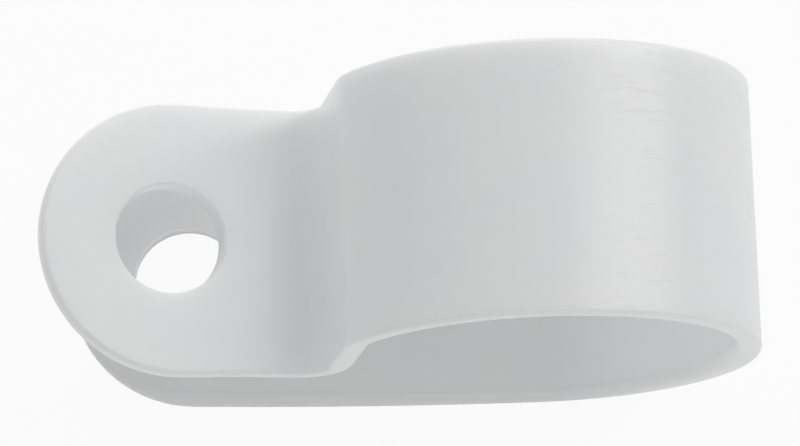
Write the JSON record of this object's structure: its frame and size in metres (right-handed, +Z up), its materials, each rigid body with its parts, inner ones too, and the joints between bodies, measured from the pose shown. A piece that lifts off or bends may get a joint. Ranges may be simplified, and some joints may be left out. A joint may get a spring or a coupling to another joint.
{
  "type": "p clip",
  "caption": "One-piece moulded nylon P clip, with a round cable loop standing open and a rounded, drilled mounting tab at each end of the strip.",
  "frame": {"origin": "centre of the lower tab's screw hole, on the mounting face", "axes": "+X from the hole towards the loop, +Y along the cable, +Z up from the mounting face"},
  "size_m": [0.0333, 0.013, 0.0203],
  "materials": {
    "natural_nylon": "natural milky nylon, satin as moulded"
  },
  "bodies": {
    "root": {"clip": "natural_nylon"}
  },
  "joints": []
}
